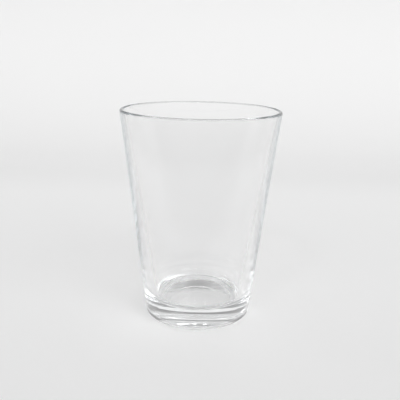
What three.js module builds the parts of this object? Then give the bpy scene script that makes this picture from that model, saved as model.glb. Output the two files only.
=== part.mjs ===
// A plain conical drinking glass: clear pressed glass, a rounded lip, straight walls that widen
// upwards, a thick solid base and a shallow hollow underneath that leaves a ring to stand on.
// Millimetres, +Z up, with the origin on the axis at the level of the table.
// The glass is one turned body. It is divided by level planes at its natural zones, and the zones
// meet face to face, so that lip, wall, base and foot can each be read and measured by themselves.

import * as THREE from 'three';

// Overall size
const height = 120;
const rimDiameter = 90; // outside, across the rounded lip
const footDiameter = 63; // outside, across the rounded heel

// Thickness of the glass
const lipThickness = 2.2; // the lip is a full round of this width
const wallThicknessAtFloor = 7.5; // measured level, where wall and floor would meet
const baseThickness = 10.2; // from the table to the floor inside

// Rounded edges
const heelRadius = 1.5; // outside, where the wall turns under
const floorCornerRadius = 6; // inside, where the wall runs into the floor

// Hollow under the base
const recessDiameter = 44.5;
const recessDepth = 2.6;

// Smoothness of the round shapes
const sidesAround = 72;
const halfStepsPerArc = 4;

// How the glass looks
const glassColour = 0xe3e9e8;
const glassRoughness = 0.04;
const glassOpacity = 0.35;

// The lip, the heel and the floor corner are circles in the section of the glass, with r across
// and z up. Each one is placed so that the overall sizes are reached by its outermost point.
const lipRadius = lipThickness / 2;
const lipCentre = new THREE.Vector2(rimDiameter / 2 - lipRadius, height - lipRadius);
const heelCentre = new THREE.Vector2(footDiameter / 2 - heelRadius, heelRadius);

// The outer wall is the straight line that touches the heel and the lip from outside. It leans out
// from the vertical by this angle.
const heelToLip = lipCentre.clone().sub(heelCentre);
const outerLean = Math.atan2(heelToLip.x, heelToLip.y)
  - Math.asin((heelRadius - lipRadius) / heelToLip.length());

// Radius of the outer wall at a level.
function outerRadiusAt(level) {
  const touch = heelCentre.x + heelRadius * Math.cos(outerLean);
  const touchLevel = heelCentre.y - heelRadius * Math.sin(outerLean);
  return touch + (level - touchLevel) * Math.tan(outerLean);
}

// The inner wall touches the lip circle from inside and ends at the floor, one wall thickness in
// from the outer wall. The floor corner is the circle that touches that wall and the floor.
const floorEdge = new THREE.Vector2(outerRadiusAt(baseThickness) - wallThicknessAtFloor, baseThickness);
const floorToLip = lipCentre.clone().sub(floorEdge);
const innerLean = Math.atan2(floorToLip.x, floorToLip.y) - Math.asin(lipRadius / floorToLip.length());
const cornerSetback = floorCornerRadius * Math.tan(Math.PI / 4 - innerLean / 2);
const cornerCentre = new THREE.Vector2(floorEdge.x - cornerSetback, baseThickness + floorCornerRadius);

// The hollow under the base is a cap of this sphere.
const recessRadius = recessDiameter / 2;
const recessSphere = (recessRadius ** 2 + recessDepth ** 2) / (2 * recessDepth);
const recessSpread = Math.asin(recessRadius / recessSphere);

// Half section of the whole glass, from the axis under the base round to the axis on the floor.
function glassSection() {
  const section = new THREE.Path();
  const up = Math.PI / 2;
  section.absarc(0, recessDepth - recessSphere, recessSphere, up, up - recessSpread, true);
  section.absarc(heelCentre.x, heelCentre.y, heelRadius, -up, -outerLean, false);
  section.absarc(lipCentre.x, lipCentre.y, lipRadius, -outerLean, Math.PI - innerLean, false);
  section.absarc(cornerCentre.x, cornerCentre.y, floorCornerRadius, -innerLean, -up, true);
  section.lineTo(0, baseThickness);
  return section.getPoints(halfStepsPerArc);
}

// The part of a closed outline that lies above a level, or below it when side is -1.
function keepSide(outline, level, side) {
  const kept = [];
  outline.forEach((point, index) => {
    const next = outline[(index + 1) % outline.length];
    const here = side * (point.y - level);
    const there = side * (next.y - level);
    if (here >= 0) {
      kept.push(point.clone());
    }
    if (here * there < 0) {
      const crossing = point.clone().lerp(next, here / (here - there));
      crossing.y = level;
      kept.push(crossing);
    }
  });
  return kept;
}

// The outline turned round the axis as a closed solid, with its axis along +Z.
function turned(outline) {
  const closed = [...outline, outline[0].clone()];
  return new THREE.LatheGeometry(closed, sidesAround).rotateX(Math.PI / 2);
}

// One zone of the glass, between two levels, as a mesh of its own.
function zone(name, section, from, to) {
  const outline = keepSide(keepSide(section, from, 1), to, -1);
  const material = new THREE.MeshStandardMaterial({
    color: glassColour,
    roughness: glassRoughness,
    metalness: 0,
    transparent: true,
    opacity: glassOpacity,
  });
  const mesh = new THREE.Mesh(turned(outline), material);
  mesh.name = name;
  return mesh;
}

// The foot ring ends half way up the hollow, the base ends where the floor corner has become wall,
// and the lip starts one lip width below the top.
const footRingTop = recessDepth / 2;
const baseTop = baseThickness + floorCornerRadius;
const lipStart = height - lipThickness;

const section = glassSection();
const drinkingGlass = new THREE.Group();
drinkingGlass.add(zone('foot_ring', section, 0, footRingTop));
drinkingGlass.add(zone('thick_base', section, footRingTop, baseTop));
drinkingGlass.add(zone('side_wall', section, baseTop, lipStart));
drinkingGlass.add(zone('rounded_lip', section, lipStart, height));

export default drinkingGlass;
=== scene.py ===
# %% [markdown]
# # A plain drinking glass
#
# This lesson dresses a imported model of a conical tumbler in Blender: one clear, colourless body of
# pressed glass with a rounded lip, straight sides and a heavy base. The imported model is the frame.
# It holds the true sizes, and nothing in it is moved. Its box is kept at once, and it gives the height and
# the radius of the rim.

# %% Load the frame
import math

import bpy
import numpy as np
from mathutils import Matrix, Vector


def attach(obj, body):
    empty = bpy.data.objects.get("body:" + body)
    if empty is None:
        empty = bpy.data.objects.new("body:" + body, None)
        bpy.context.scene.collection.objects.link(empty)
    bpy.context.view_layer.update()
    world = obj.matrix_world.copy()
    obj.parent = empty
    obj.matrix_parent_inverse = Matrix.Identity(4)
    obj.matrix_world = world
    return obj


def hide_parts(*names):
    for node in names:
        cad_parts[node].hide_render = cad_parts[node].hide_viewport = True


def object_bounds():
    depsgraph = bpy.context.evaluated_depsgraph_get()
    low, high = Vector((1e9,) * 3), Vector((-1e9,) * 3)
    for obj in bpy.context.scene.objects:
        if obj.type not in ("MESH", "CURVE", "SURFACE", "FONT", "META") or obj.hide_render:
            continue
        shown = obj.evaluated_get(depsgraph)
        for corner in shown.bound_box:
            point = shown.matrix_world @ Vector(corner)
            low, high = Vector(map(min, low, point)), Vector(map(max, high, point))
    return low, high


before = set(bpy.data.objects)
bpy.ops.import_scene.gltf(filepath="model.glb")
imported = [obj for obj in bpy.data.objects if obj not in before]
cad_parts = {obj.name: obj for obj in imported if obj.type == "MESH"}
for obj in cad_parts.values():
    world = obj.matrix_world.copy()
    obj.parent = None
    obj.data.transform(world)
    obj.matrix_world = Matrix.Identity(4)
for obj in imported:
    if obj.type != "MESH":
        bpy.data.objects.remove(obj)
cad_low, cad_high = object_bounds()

scene = bpy.context.scene
print("frame nodes:", ", ".join(sorted(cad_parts)))
print("frame box, mm:", [round(1000 * side, 2) for side in cad_high - cad_low])

# %% [markdown]
# ## The sizes of the section
#
# A tumbler is a turned shape, so half of its section says everything. The frame gives the height
# and the radius of the rim. The rest are the sizes of the same object in metres: a foot, a lip, a
# wall that grows thicker towards the floor, a thick base, and a shallow hollow under it. The hollow
# leaves a ring to stand on, so the glass doesn't rock on a table that isn't quite flat.

# %% Sizes
height = cad_high.z
rim_radius = cad_high.x
foot_radius = 0.0315
lip_radius = 0.0011
heel_radius = 0.0015
floor_level = 0.0102
wall_at_floor = 0.0075
floor_corner_radius = 0.006
hollow_radius = 0.02225
hollow_depth = 0.0026
hollow_edge_radius = 0.003

print(f"glass {1000 * height:.1f} mm tall, {2000 * rim_radius:.1f} mm across the rim")

# %% [markdown]
# ## Arcs and straight runs
#
# The section is made of arcs that touch straight runs, as a drawing of a glass is. An arc could be
# a handful of corners with a Subdivision Surface modifier, but glass bends light by the slope of
# its surface, and a subdivided corner never has quite the slope of a circle. So arcs are worked
# out from their formula. The points of a straight run crowd together at its ends, which keeps the
# smooth shading of the arcs from spreading along the straight wall.

# %% Pieces of a section
quarter = math.pi / 2


def arc(centre, radius, start, end, count):
    """Points at centre + radius * (cos a, sin a), with the angle a going evenly from start to end."""
    angle = np.linspace(start, end, count)
    return np.array(centre) + radius * np.stack([np.cos(angle), np.sin(angle)], axis=1)


def straight(start, end, count):
    """Points between start and end, left out, at shares (1 - cos a) / 2 with a evenly from 0 to pi."""
    share = (1 - np.cos(np.linspace(0, math.pi, count + 2)[1:-1])) / 2
    return np.array(start) + share[:, None] * (np.array(end) - np.array(start))


def lean_between(low, high, setback):
    """The lean from the vertical of a line from low to high, less the angle that moves it by setback."""
    across, up = np.array(high) - np.array(low)
    return math.atan2(across, up) - math.asin(setback / math.hypot(across, up))


print("a quarter circle in 3 points:", arc((0.0, 0.0), 1.0, 0.0, quarter, 3).round(3).tolist())

# %% [markdown]
# ## The outer side of the section
#
# The section starts on the axis under the base. The hollow there is a shallow cap of a large sphere,
# and a small arc rounds its edge into the ring: its circle touches the sphere from outside and
# the table from above. The outer wall is the straight line that touches the heel and the lip.

# %% Hollow, heel and outer wall
arc_points = 32
run_points = 40

lip_centre = (rim_radius - lip_radius, height - lip_radius)
heel_centre = (foot_radius - heel_radius, heel_radius)
outer_lean = lean_between(heel_centre, lip_centre, heel_radius - lip_radius)

sphere_radius = (hollow_radius**2 + hollow_depth**2) / (2 * hollow_depth)
sphere_centre = (0.0, hollow_depth - sphere_radius)
edge_reach = sphere_radius + hollow_edge_radius
edge_rise = hollow_edge_radius - sphere_centre[1]
edge_centre = (math.sqrt(edge_reach**2 - edge_rise**2), hollow_edge_radius)
edge_angle = math.atan2(edge_rise, edge_centre[0])

hollow = arc(sphere_centre, sphere_radius, quarter, edge_angle, arc_points)
hollow_edge = arc(edge_centre, hollow_edge_radius, math.pi + edge_angle, 3 * quarter, arc_points // 2)
heel = arc(heel_centre, heel_radius, -quarter, -outer_lean, arc_points // 2)
print(f"outer wall leans {math.degrees(outer_lean):.2f} degrees")

# %% [markdown]
# ## The inner side of the section
#
# The inner wall touches the lip from inside and runs down to the floor, one wall thickness in from
# the outer wall, where an arc rounds the corner. The floor then runs in to the axis, so the section
# goes all the way round the glass from axis to axis.

# %% Lip, inner wall and floor
outer_at_floor = heel[-1][0] + (floor_level - heel[-1][1]) * math.tan(outer_lean)
floor_edge = (outer_at_floor - wall_at_floor, floor_level)
inner_lean = lean_between(floor_edge, lip_centre, lip_radius)
corner_setback = floor_corner_radius * math.tan((quarter - inner_lean) / 2)
corner_centre = (floor_edge[0] - corner_setback, floor_level + floor_corner_radius)

lip = arc(lip_centre, lip_radius, -outer_lean, math.pi - inner_lean, 2 * arc_points)
corner = arc(corner_centre, floor_corner_radius, -inner_lean, -quarter, arc_points)
floor_middle = (0.0, floor_level)

section = np.concatenate([
    hollow,
    hollow_edge[1:],
    straight(hollow_edge[-1], heel[0], run_points // 4),
    heel,
    straight(heel[-1], lip[0], run_points),
    lip,
    straight(lip[-1], corner[0], run_points),
    corner,
    straight(corner[-1], floor_middle, run_points // 4),
    [floor_middle],
])
print(f"section of {len(section)} points, inner wall leans {math.degrees(inner_lean):.2f} degrees")

# %% [markdown]
# ## Turning the section
#
# Blender's Screw modifier could turn the section, but it leaves the two points on the axis doubled.
# Here the turned surface is written down as one function of two parameters, the place along the
# section and the angle round the axis. The first and the last point lie on the axis, so each of
# them becomes one vertex with a fan of triangles, and the surface is closed.

# %% Turned surface
sides_round = 256


def turned(profile, sides):
    """The point (r, z) of the profile at the angle t round the axis goes to (r cos t, r sin t, z).

    The ends of the profile lie on the axis and become one point each. Returns points and faces.
    """
    turn = np.arange(sides) * (2 * math.pi / sides)
    radius, level = profile[1:-1, 0], profile[1:-1, 1]
    rings = np.stack([
        np.outer(radius, np.cos(turn)),
        np.outer(radius, np.sin(turn)),
        np.outer(level, np.ones(sides)),
    ], axis=-1)
    poles = np.array([[0, 0, profile[0, 1]], [0, 0, profile[-1, 1]]])
    points = np.concatenate([rings.reshape(-1, 3), poles])

    here = np.arange(sides)
    beside = (here + 1) % sides
    start = (np.arange(len(radius) - 1) * sides)[:, None]
    quads = np.stack([start + here, start + beside, start + sides + beside, start + sides + here], axis=-1)
    first_pole, last_pole = len(points) - 2, len(points) - 1
    last_ring = (len(radius) - 1) * sides
    under = np.stack([np.full(sides, first_pole), beside, here], axis=-1)
    over = np.stack([np.full(sides, last_pole), last_ring + here, last_ring + beside], axis=-1)
    return points, quads.reshape(-1, 4).tolist() + under.tolist() + over.tolist()


glass_points, glass_faces = turned(section, sides_round)
print(f"turned surface: {len(glass_points)} points, {len(glass_faces)} faces")

# %% [markdown]
# ## From arrays to a piece
#
# The arrays go into a mesh in one call. The object that carries the mesh stays at the origin,
# unturned and unscaled, so that its Object coordinates are the frame's own. Glass from a mould is
# smooth, and so is its shading.


# %% The tumbler
def piece_of(name, points, faces):
    """An object with a smooth mesh of these points and faces, at the origin."""
    mesh = bpy.data.meshes.new(name)
    mesh.from_pydata(points, [], faces)
    mesh.shade_smooth()
    piece = bpy.data.objects.new(name, mesh)
    scene.collection.objects.link(piece)
    return piece


tumbler = piece_of("tumbler", glass_points, glass_faces)
print(f"tumbler: {len(tumbler.data.vertices)} vertices, {len(tumbler.data.polygons)} faces")

# %% [markdown]
# ## The glass stands for the four solids of the frame
#
# The frame divides the glass into lip, wall, base and foot, which are zones of one piece. Seen
# through clear glass, the faces between them would show as mirrors, so one closed body replaces
# all four, and it rides on the only body there is.

# %% Put the glass in the frame's place
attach(tumbler, "root")
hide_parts("rounded_lip", "side_wall", "thick_base", "foot_ring")
print("tumbler replaces", sorted(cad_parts))

# %% [markdown]
# ## Clear pressed glass
#
# Soda-lime glass bends light by an index of 1.52. It takes a little light away on a long way
# through, red slightly more than the rest. That darkens the rim and the wall's edges, where the eye
# looks along the glass, and gives the thick base its grey tinge, so the tint belongs in the volume
# and not in the surface colour.

# %% Glass material
refractive_index = 1.52
tint = (0.890, 0.905, 0.914, 1.0)
tint_density = 7.0


def clear_glass():
    """Full transmission at the surface, and the tint as absorption in the volume."""
    material = bpy.data.materials.new("clear_glass")
    material.use_nodes = True
    nodes, links = material.node_tree.nodes, material.node_tree.links
    shader = nodes["Principled BSDF"]
    shader.inputs["Transmission Weight"].default_value = 1.0
    shader.inputs["IOR"].default_value = refractive_index
    absorption = nodes.new("ShaderNodeVolumeAbsorption")
    absorption.inputs["Color"].default_value = tint
    absorption.inputs["Density"].default_value = tint_density
    links.new(absorption.outputs["Volume"], nodes["Material Output"].inputs["Volume"])
    return material


glass = clear_glass()
tumbler.data.materials.append(glass)
print(f"finish: {glass.name}, index {refractive_index}")

# %% [markdown]
# ## Waves and haze
#
# A mould and a flame leave the surface very slightly wavy, and handling leaves fine haze in places.
# Pictures could hold both, but they would need an unwrapped surface. Noise on Object coordinates
# needs none and stays fixed to the glass: one noise for the waves, as a bump, and a wider one for
# the haze, as roughness.

# %% Waves and haze
wave_scale = 60.0
wave_detail = 1.0
wave_height = 0.000012
haze_scale = 35.0
haze_detail = 2.0
haze_range = (0.0, 0.012)


def object_noise(tree, scale, detail):
    """Noise that reads the Object coordinates of the piece."""
    place = tree.nodes.new("ShaderNodeTexCoord")
    noise = tree.nodes.new("ShaderNodeTexNoise")
    noise.inputs["Scale"].default_value = scale
    noise.inputs["Detail"].default_value = detail
    tree.links.new(place.outputs["Object"], noise.inputs["Vector"])
    return noise


def add_waves(tree):
    """The height of a bump follows a noise, times the height of the waves."""
    waves = object_noise(tree, wave_scale, wave_detail)
    bump = tree.nodes.new("ShaderNodeBump")
    bump.inputs["Distance"].default_value = wave_height
    tree.links.new(waves.outputs["Fac"], bump.inputs["Height"])
    tree.links.new(bump.outputs["Normal"], tree.nodes["Principled BSDF"].inputs["Normal"])


def add_haze(tree):
    """The roughness follows a noise, from the low end of its range to the high end."""
    haze = object_noise(tree, haze_scale, haze_detail)
    level = tree.nodes.new("ShaderNodeMapRange")
    level.inputs["To Min"].default_value = haze_range[0]
    level.inputs["To Max"].default_value = haze_range[1]
    tree.links.new(haze.outputs["Fac"], level.inputs["Value"])
    tree.links.new(level.outputs["Result"], tree.nodes["Principled BSDF"].inputs["Roughness"])


add_waves(glass.node_tree)
add_haze(glass.node_tree)
print(f"waves {1e6 * wave_height:.0f} micrometres high, roughness up to {haze_range[1]}")

# %% [markdown]
# ## Painted shade on the lip
#
# Clear glass looks dark along its rim, and the top of the lip is painted grey to darken it further: this
# grey is painted shade. An image texture could hold it too, but it keeps to one level all round, so the
# surface colour simply follows the height z: clear up to the shaded band, then darker over its lower half,
# and grey at the very top.

# %% Painted lip shade
# Painted shade: the top of the lip is painted grey so that the rim looks darker.
painted_lip_shade_band = 0.0009
painted_lip_shade_grey = 0.70


def share_along(tree, axis, start, end):
    """The share of the way from start to end, 0 to 1, along one axis of the Object coordinates."""
    place = tree.nodes.new("ShaderNodeTexCoord")
    axes = tree.nodes.new("ShaderNodeSeparateXYZ")
    share = tree.nodes.new("ShaderNodeMapRange")
    share.inputs["From Min"].default_value = start
    share.inputs["From Max"].default_value = end
    tree.links.new(place.outputs["Object"], axes.inputs["Vector"])
    tree.links.new(axes.outputs[axis], share.inputs["Value"])
    return share


def add_painted_lip_shade(tree):
    """The surface colour goes from clear to the painted shade grey over the lower half of the band."""
    wear = share_along(tree, "Z", height - painted_lip_shade_band, height - painted_lip_shade_band / 2)
    wear.inputs["To Min"].default_value = 1.0
    wear.inputs["To Max"].default_value = painted_lip_shade_grey
    tree.links.new(wear.outputs["Result"], tree.nodes["Principled BSDF"].inputs["Base Color"])


add_painted_lip_shade(glass.node_tree)
# The grey over the top of the lip is painted shade, not wear.
print(f"lip worn over its top {1000 * painted_lip_shade_band:.1f} mm, {len(glass.node_tree.nodes)} nodes in all")

# %% [markdown]
# ## The paper and the table
#
# The glass stands on a sheet of white paper that runs back, bends up and ends a little above the
# picture, so no horizon shows. It is a profile carried sideways: flat floor, a bend of a quarter
# circle, a wall. The sheet is hardly larger than the picture, so a wide table of the same white
# lies just under it and carries the floor on to every side. The paper lies a tenth of a millimetre
# under the glass, because two faces in exactly the same place would shade each other.

# %% Paper strip and table
paper_gap = 0.0001
table_gap = 0.0005
strip_half_width = 0.36
strip_front = -0.20
wall_distance = 0.62
wall_height = 0.235
bend_radius = 0.27
table_half = 3.0


def carried(profile, half_width):
    """The point (y, z) of the profile goes to (x, y, z), with x at one side and then the other.

    Returns points and faces.
    """
    across = np.array([-half_width, half_width])
    count = len(profile)
    points = np.stack([
        np.repeat(across, count),
        np.tile(profile[:, 0], 2),
        np.tile(profile[:, 1], 2),
    ], axis=1)
    here = np.arange(count - 1)
    return points, np.stack([here, here + count, here + count + 1, here + 1], axis=1).tolist()


bend_centre = (wall_distance - bend_radius, bend_radius - paper_gap)
bend = arc(bend_centre, bend_radius, -quarter, 0.0, arc_points)
strip_profile = np.concatenate([[(strip_front, -paper_gap)], bend, [(wall_distance, wall_height)]])
table_profile = np.array([(-table_half, -table_gap), (table_half, -table_gap)])
strip = piece_of("paper_strip", *carried(strip_profile, strip_half_width))
table = piece_of("table", *carried(table_profile, table_half))
print("strip and table faces:", len(strip.data.polygons), len(table.data.polygons))

# %% [markdown]
# ## The paper's grey and its painted shade
#
# White paper sends back about nine tenths of the light. The lamps reach the bend less evenly than the
# floor, and the picture behind the glass has to stay calm, so the paper's grey follows the distance y
# behind the glass: a ramp of greys with painted shade, a little darker at the bend and on the wall, and
# lightest just behind the glass. In front, out of the picture, painted shade turns the floor softly grey,
# and the table is painted darker far away. The front wall of the glass mirrors that part of the floor,
# which makes the body of the glass a little greyer than the paper behind it.

# %% Paper material
paper_roughness = 0.9
paper_sheen = 0.1
# White paper with painted shade: darker in front, at the bend and far away, lightest just behind the
# glass.
paper_greys_and_painted_shade = [
    (-table_half, 0.82), (-0.80, 0.78), (-0.45, 0.54), (-0.16, 0.54), (-0.10, 0.89),
    (0.0, 0.92), (0.25, 0.95), (0.42, 0.87), (wall_distance, 0.885), (table_half, 0.90),
]


def ramp_of(tree, levels):
    """A colour ramp of greys through (place, level) pairs, the places from 0 to 1."""
    ramp = tree.nodes.new("ShaderNodeValToRGB")
    stops = ramp.color_ramp.elements
    for number, (where, level) in enumerate(levels):
        stop = stops[number] if number < len(stops) else stops.new(where)
        stop.position = where
        stop.color = (level, level, level, 1.0)
    return ramp


def paper_with_painted_shade():
    """Matt paper whose grey, white with painted shade, follows the (y, grey) pairs, y being the distance
    behind the glass.
    """
    material = bpy.data.materials.new("paper_with_painted_shade")
    material.use_nodes = True
    tree = material.node_tree
    shader = tree.nodes["Principled BSDF"]
    shader.inputs["Roughness"].default_value = paper_roughness
    shader.inputs["Specular IOR Level"].default_value = paper_sheen
    way = share_along(tree, "Y", -table_half, table_half)
    ramp = ramp_of(tree, [((y + table_half) / (2 * table_half), grey) for y, grey in paper_greys_and_painted_shade])
    tree.links.new(way.outputs["Result"], ramp.inputs["Fac"])
    tree.links.new(ramp.outputs["Color"], shader.inputs["Base Color"])
    return material


paper = paper_with_painted_shade()
for sheet in (strip, table):
    sheet.data.materials.append(paper)
print(f"finish: {paper.name}, {len(paper_greys_and_painted_shade)} greys")

# %% [markdown]
# ## The room
#
# Clear glass shows hardly anything but its surroundings, so they are the main part of its looks.
# A photographed room would bring its own windows and colours. This one is a world whose level
# follows the height of the direction that it is seen in, with one ramp in front of the glass and
# another behind it. The front is light. The back is dim between 20 and 35 degrees, which draws the
# dark wedges and the rim, and dim overhead, which draws the dark crescent at the back of the base.
# One ramp passes softly into the other where the y of the direction goes from front_from to
# front_to.

# %% Room
front_levels = [(0.0, 0.72), (0.14, 1.08), (0.60, 1.08), (0.74, 0.50), (1.0, 0.36)]
back_levels = [
    (0.0, 0.90), (0.22, 0.90), (0.32, 0.45), (0.38, 0.30), (0.54, 0.32),
    (0.62, 0.55), (0.70, 0.75), (0.78, 0.75), (0.84, 0.48), (0.90, 0.41), (1.0, 0.36),
]
front_from = 0.1
front_to = -0.7


def room():
    """The level follows one ramp in front and another behind, mixed by the y of the direction."""
    world = bpy.data.worlds.new("room")
    world.use_nodes = True
    tree = world.node_tree
    nodes, links = tree.nodes, tree.links
    place = nodes.new("ShaderNodeTexCoord")
    axes = nodes.new("ShaderNodeSeparateXYZ")
    links.new(place.outputs["Generated"], axes.inputs["Vector"])
    share = nodes.new("ShaderNodeMapRange")
    share.interpolation_type = "SMOOTHSTEP"
    share.inputs["From Min"].default_value = front_from
    share.inputs["From Max"].default_value = front_to
    links.new(axes.outputs["Y"], share.inputs["Value"])
    mix = nodes.new("ShaderNodeMix")
    mix.data_type = "RGBA"
    links.new(share.outputs["Result"], mix.inputs["Factor"])
    for socket, levels in (("A", back_levels), ("B", front_levels)):
        ramp = ramp_of(tree, levels)
        links.new(axes.outputs["Z"], ramp.inputs["Fac"])
        links.new(ramp.outputs["Color"], mix.inputs[socket])
    links.new(mix.outputs["Result"], nodes["Background"].inputs["Color"])
    return world


scene.world = room()
print("room nodes:", len(scene.world.node_tree.nodes))

# %% [markdown]
# ## The soft boxes
#
# A soft box is a lamp behind a white cloth. Two small ones high in front make the white glints in
# the base, and a weak one at the left makes those in its right corner. The key at the right lays
# the faint shadow to the left and behind. The two high boxes behind light the paper from where the
# glass hardly shows them. They are area lamps, and a level of 1 looks as light as white paper.

# %% Soft boxes
glass_middle = Vector((0.0, 0.0, height / 2))
front_box_size = (0.34, 0.36)
front_box_level = 11.0
key_box_size = (1.40, 1.40)
key_box_level = 2.8
high_box_size = (0.70, 0.70)
high_box_level = 0.75
side_box_size = (0.40, 0.50)
side_box_level = 2.6


def soft_box(name, place, size, level):
    """An area lamp turned to the middle of the glass, whose front has the level, 1 being paper white.

    A lamp's power is pi times its area times the level of its front.
    """
    light = bpy.data.lights.new(name, "AREA")
    light.shape = "RECTANGLE"
    light.size = size[0]
    light.size_y = size[1]
    light.energy = math.pi * size[0] * size[1] * level
    lamp = bpy.data.objects.new(name, light)
    turn = (glass_middle - Vector(place)).to_track_quat("-Z", "Y")
    lamp.matrix_world = Matrix.Translation(place) @ turn.to_matrix().to_4x4()
    scene.collection.objects.link(lamp)
    return lamp


boxes = [
    soft_box("front_box_right", (0.25, -2.07, 2.30), front_box_size, front_box_level),
    soft_box("front_box_left", (-0.88, -1.89, 2.30), front_box_size, front_box_level),
    soft_box("key_box", (1.50, -1.65, 2.10), key_box_size, key_box_level),
    soft_box("high_box_right", (0.56, 0.55, 1.84), high_box_size, high_box_level),
    soft_box("high_box_left", (-0.56, 0.55, 1.84), high_box_size, high_box_level),
    soft_box("side_box_left", (-1.80, 0.48, 1.17), side_box_size, side_box_level),
]
for lamp in boxes:
    print(f"{lamp.name}: {lamp.data.energy:.2f} W at {lamp.location.length:.2f} m")

# %% [markdown]
# ## The camera
#
# The camera stands about 0.3 m in front of the glass, a little higher than its rim, and looks down
# by 16 degrees. Its place, its tilt and its focal length come from fitting the outline of a cone
# of these sizes to the outline of the glass in the picture, which is 400 pixels wide.

# %% Camera
picture_width = 400
focal_pixels = 534.15
sensor_width = 36.0
near_limit = 0.01
camera_distance = 0.29936
camera_height = 0.1528
look_down = math.radians(15.937)
roll = math.radians(1.154)
turn_right = math.radians(0.078)

lens = bpy.data.cameras.new("camera")
lens.sensor_width = sensor_width
lens.lens = focal_pixels * sensor_width / picture_width
lens.clip_start = near_limit
camera = bpy.data.objects.new("camera", lens)
scene.collection.objects.link(camera)
camera.matrix_world = (
    Matrix.Translation((0.0, -camera_distance, camera_height))
    @ Matrix.Rotation(-turn_right, 4, "Z")
    @ Matrix.Rotation(quarter - look_down, 4, "X")
    @ Matrix.Rotation(roll, 4, "Z")
)
scene.camera = camera
print(f"lens {lens.lens:.1f} mm")

# %% [markdown]
# ## How the light is traced
#
# A ray that meets the heavy base crosses many faces before it leaves, so it needs more bounces
# than Blender gives by default. Between sheets of paper a few bounces are enough. Filter Glossy is
# off, because it would blur and darken the paper seen through the base.

# %% Tracing
glass_bounces = 128
paper_bounces = 4

scene.view_settings.view_transform = "Standard"
scene.cycles.use_denoising = True
scene.cycles.max_bounces = glass_bounces
scene.cycles.transmission_bounces = glass_bounces
scene.cycles.glossy_bounces = glass_bounces
scene.cycles.diffuse_bounces = paper_bounces
scene.cycles.blur_glossy = 0.0
print(f"bounces: {glass_bounces} in glass, {paper_bounces} on paper")
